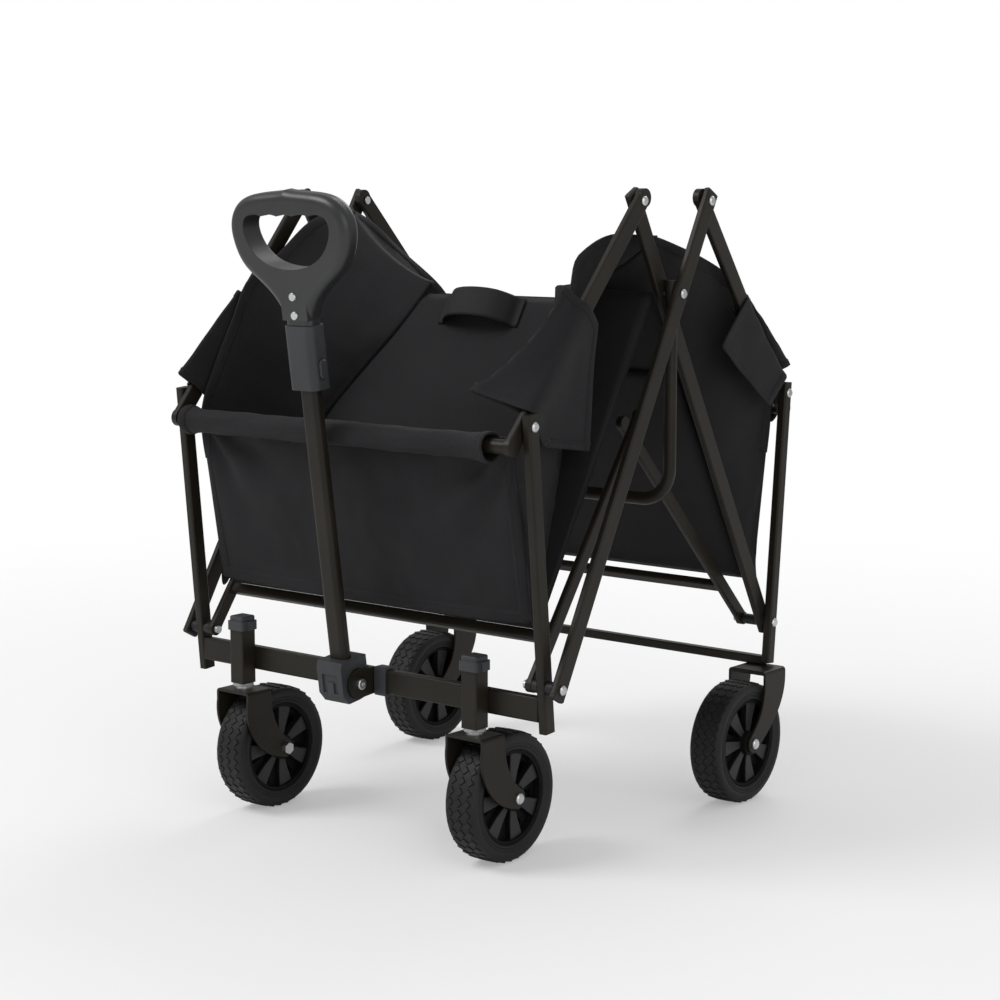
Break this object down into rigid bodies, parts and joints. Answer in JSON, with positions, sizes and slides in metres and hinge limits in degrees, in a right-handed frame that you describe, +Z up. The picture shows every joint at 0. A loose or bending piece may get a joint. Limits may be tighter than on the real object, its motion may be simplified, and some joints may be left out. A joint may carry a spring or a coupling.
{
  "type": "folding utility wagon with pull handle",
  "caption": "Collapsible fabric utility wagon, half folded: crossed side braces, swivel front casters, fixed rear wheels and a telescoping pull handle with D-grip.",
  "frame": {"origin": "ground level under the middle of the wagon, midway between the lower brace pivots of the front and rear frames", "axes": "+Z up, +X to the wagon's right-hand side seen from behind the handle looking at the front, -Y towards the pull handle"},
  "size_m": [0.59, 0.6491, 0.7533],
  "materials": {
    "frame": "satin",
    "hardware": "satin",
    "plastic": "matte",
    "bush": "matte",
    "rim": "satin",
    "tyre": "matte",
    "cloth": "matte",
    "webbing": "matte"
  },
  "bodies": {
    "front_frame": {"front_posts": "frame", "front_lower_bar": "frame", "caster_sockets": "frame", "caster_bushes": "bush", "caster_caps": "plastic", "front_frame_bolts": "hardware", "front_pivot_spacers": "hardware", "handle_bracket": "frame", "handle_bar_sleeves": "plastic", "front_panel": "cloth", "side_wall_front_left": "cloth", "side_wall_front_right": "cloth"},
    "outer_brace": {"outer_braces": "frame", "outer_brace_plugs": "plastic", "outer_brace_rivets": "hardware"},
    "inner_brace": {"inner_braces": "frame", "inner_brace_plugs": "plastic"},
    "rear_frame": {"rear_posts": "frame", "rear_lower_bar": "frame", "rear_forks": "frame", "rear_axles": "hardware", "rear_frame_bolts": "hardware", "rear_pivot_spacers": "hardware", "rear_panel": "cloth", "side_wall_rear_left": "cloth", "side_wall_rear_right": "cloth"},
    "hoop": {"centre_hoop": "frame"},
    "front_rail": {"front_rail_links": "frame", "front_rail_bar": "frame", "front_peak_rivets": "hardware"},
    "rear_rail": {"rear_rail_links": "frame", "rear_rail_bar": "frame"},
    "front_floor": {"front_floor_frame": "frame"},
    "rear_floor": {"rear_floor_frame": "frame"},
    "front_mat": {"front_mat": "cloth", "pull_strap": "webbing"},
    "rear_mat": {"rear_mat": "cloth"},
    "floor_flap": {"floor_flap": "cloth"},
    "caster_left": {"caster_fork_left": "frame", "caster_stem_left": "hardware", "front_axle_left": "hardware"},
    "caster_right": {"caster_fork_right": "frame", "caster_stem_right": "hardware", "front_axle_right": "hardware"},
    "wheel_front_left": {"tyre_front_left": "tyre", "rim_front_left": "rim"},
    "wheel_front_right": {"tyre_front_right": "tyre", "rim_front_right": "rim"},
    "wheel_rear_left": {"tyre_rear_left": "tyre", "rim_rear_left": "rim"},
    "wheel_rear_right": {"tyre_rear_right": "tyre", "rim_rear_right": "rim"},
    "handle": {"handle_knuckle": "plastic", "handle_outer_tube": "frame", "handle_collar": "plastic"},
    "grip": {"handle_inner_tube": "hardware", "handle_grip": "plastic", "grip_rivets": "hardware"},
    "button_left": {"collar_button_left": "plastic"},
    "button_right": {"collar_button_right": "plastic"}
  },
  "joints": [
    {"name": "fold", "type": "hinge", "parent": "front_frame", "child": "outer_brace", "pos_m": [0, -0.23578, 0.2154], "axis": [-1, 0, 0], "range_deg": [-15.24, 32.83]},
    {"name": "scissor", "type": "hinge", "parent": "outer_brace", "child": "inner_brace", "pos_m": [0, 0, 0.63316], "axis": [-1, 0, 0], "range_deg": [-65.67, 30.49]},
    {"name": "rear_stand", "type": "hinge", "parent": "inner_brace", "child": "rear_frame", "pos_m": [0, 0.23578, 0.2154], "axis": [-1, 0, 0], "range_deg": [-15.25, 32.84]},
    {"name": "hoop_hang", "type": "hinge", "parent": "outer_brace", "child": "hoop", "pos_m": [0, 0, 0.63316], "axis": [-1, 0, 0], "range_deg": [-32.84, 15.25]},
    {"name": "front_rail_turn", "type": "hinge", "parent": "inner_brace", "child": "front_rail", "pos_m": [0, -0.05918, 0.73801], "axis": [-1, 0, 0], "range_deg": [-38.11, 82.08]},
    {"name": "rear_rail_turn", "type": "hinge", "parent": "outer_brace", "child": "rear_rail", "pos_m": [0, 0.05918, 0.73801], "axis": [-1, 0, 0], "range_deg": [-82.08, 38.11]},
    {"name": "front_floor_fold", "type": "hinge", "parent": "front_frame", "child": "front_floor", "pos_m": [0, -0.23578, 0.2154], "axis": [-1, 0, 0], "range_deg": [-25.54, 55.01]},
    {"name": "rear_floor_fold", "type": "hinge", "parent": "rear_frame", "child": "rear_floor", "pos_m": [0, 0.23578, 0.2154], "axis": [-1, 0, 0], "range_deg": [-46.01, 21.36]},
    {"name": "front_mat_fold", "type": "hinge", "parent": "front_frame", "child": "front_mat", "pos_m": [0, -0.25693, 0.26197], "axis": [-1, 0, 0], "range_deg": [-27.57, 59.38], "deforming": ["side_wall_front_left", "side_wall_front_right"]},
    {"name": "rear_mat_fold", "type": "hinge", "parent": "rear_frame", "child": "rear_mat", "pos_m": [0, 0.25693, 0.26197], "axis": [-1, 0, 0], "range_deg": [-59.38, 27.57], "deforming": ["side_wall_rear_left", "side_wall_rear_right"]},
    {"name": "flap_fold", "type": "hinge", "parent": "front_mat", "child": "floor_flap", "pos_m": [0, 0, 0.623], "axis": [-1, 0, 0], "range_deg": [-118.74, 55.13]},
    {"name": "caster_swivel_left", "type": "hinge", "parent": "front_frame", "child": "caster_left", "pos_m": [-0.1825, -0.2525, 0.19], "axis": [0, 0, 1], "continuous": true},
    {"name": "caster_swivel_right", "type": "hinge", "parent": "front_frame", "child": "caster_right", "pos_m": [0.1825, -0.2525, 0.19], "axis": [0, 0, 1], "continuous": true},
    {"name": "wheel_spin_front_left", "type": "hinge", "parent": "caster_left", "child": "wheel_front_left", "pos_m": [-0.1825, -0.208, 0.075], "axis": [1, 0, 0], "continuous": true},
    {"name": "wheel_spin_front_right", "type": "hinge", "parent": "caster_right", "child": "wheel_front_right", "pos_m": [0.1825, -0.208, 0.075], "axis": [1, 0, 0], "continuous": true},
    {"name": "wheel_spin_rear_left", "type": "hinge", "parent": "rear_frame", "child": "wheel_rear_left", "pos_m": [-0.2514, 0.1695, 0.075], "axis": [1, 0, 0], "continuous": true},
    {"name": "wheel_spin_rear_right", "type": "hinge", "parent": "rear_frame", "child": "wheel_rear_right", "pos_m": [0.2514, 0.1695, 0.075], "axis": [1, 0, 0], "continuous": true},
    {"name": "handle_tilt", "type": "hinge", "parent": "front_frame", "child": "handle", "pos_m": [0, -0.266, 0.19], "axis": [1, 0, 0], "range_deg": [-1, 80]},
    {"name": "handle_extend", "type": "slide", "parent": "handle", "child": "grip", "axis": [0, -0.1374, 0.9905], "range_m": [0, 0.28]},
    {"name": "button_press_left", "type": "slide", "parent": "handle", "child": "button_left", "axis": [1, 0, 0], "range_m": [0, 0.003], "stiffness_N_per_m": 800, "springref_m": -0.002},
    {"name": "button_press_right", "type": "slide", "parent": "handle", "child": "button_right", "axis": [-1, 0, 0], "range_m": [0, 0.003], "stiffness_N_per_m": 800, "springref_m": -0.002}
  ],
  "couplings": [
    {"joint": "scissor", "follows": "fold", "ratio": -2},
    {"joint": "rear_stand", "follows": "fold", "ratio": 1},
    {"joint": "hoop_hang", "follows": "fold", "ratio": -1},
    {"joint": "front_rail_turn", "follows": "fold", "ratio": 2.5},
    {"joint": "rear_rail_turn", "follows": "fold", "ratio": -2.5},
    {"joint": "front_floor_fold", "follows": "fold", "ratio": 1.6753},
    {"joint": "rear_floor_fold", "follows": "fold", "ratio": -1.4012},
    {"joint": "front_mat_fold", "follows": "fold", "ratio": 1.8083},
    {"joint": "rear_mat_fold", "follows": "fold", "ratio": -1.8083},
    {"joint": "flap_fold", "follows": "fold", "ratio": -3.6166}
  ]
}
